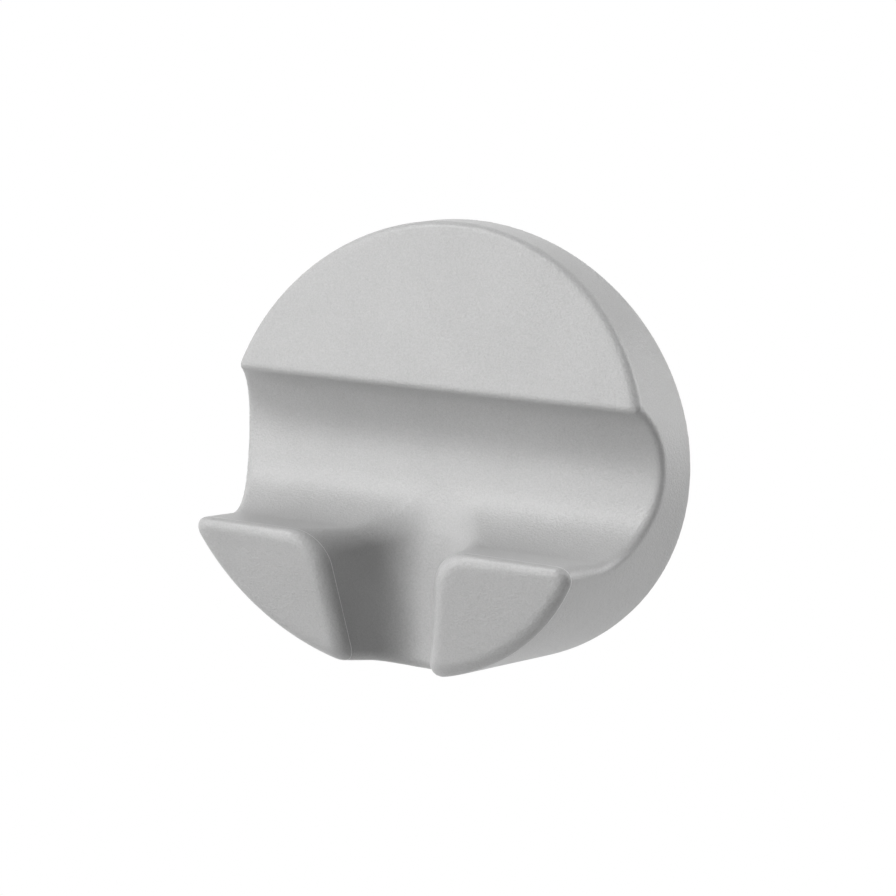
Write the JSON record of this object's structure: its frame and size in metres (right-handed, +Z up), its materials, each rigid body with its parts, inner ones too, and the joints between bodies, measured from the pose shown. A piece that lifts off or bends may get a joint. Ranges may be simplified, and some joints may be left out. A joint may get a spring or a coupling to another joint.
{
  "type": "magnetic hook",
  "caption": "Round magnetic wall hook with a leaning flat face above a full-width cradle, and prongs parted by a U-shaped notch.",
  "frame": {"origin": "centre of the back face of the grip pad, on the wall", "axes": "+Y into the wall, +Z up the wall, +X to the right for someone facing the hook"},
  "size_m": [0.0698, 0.0353, 0.0707],
  "materials": {
    "silver_grey_moulding": "satin, fine spark-eroded grain",
    "dark_grey_moulding": "matt",
    "zinc_plated_steel": "zinc plated",
    "nickel_plate": "nickel plated",
    "blackened_steel": "blackened",
    "grip_rubber": "matt"
  },
  "bodies": {
    "root": {"hook_body": "silver_grey_moulding", "back_cover": "dark_grey_moulding", "keeper_ring": "zinc_plated_steel", "magnet_1": "nickel_plate", "magnet_2": "nickel_plate", "magnet_3": "nickel_plate", "magnet_4": "nickel_plate", "magnet_5": "nickel_plate", "magnet_6": "nickel_plate", "screw_1": "blackened_steel", "screw_2": "blackened_steel", "screw_3": "blackened_steel", "grip_pad": "grip_rubber"}
  },
  "joints": []
}
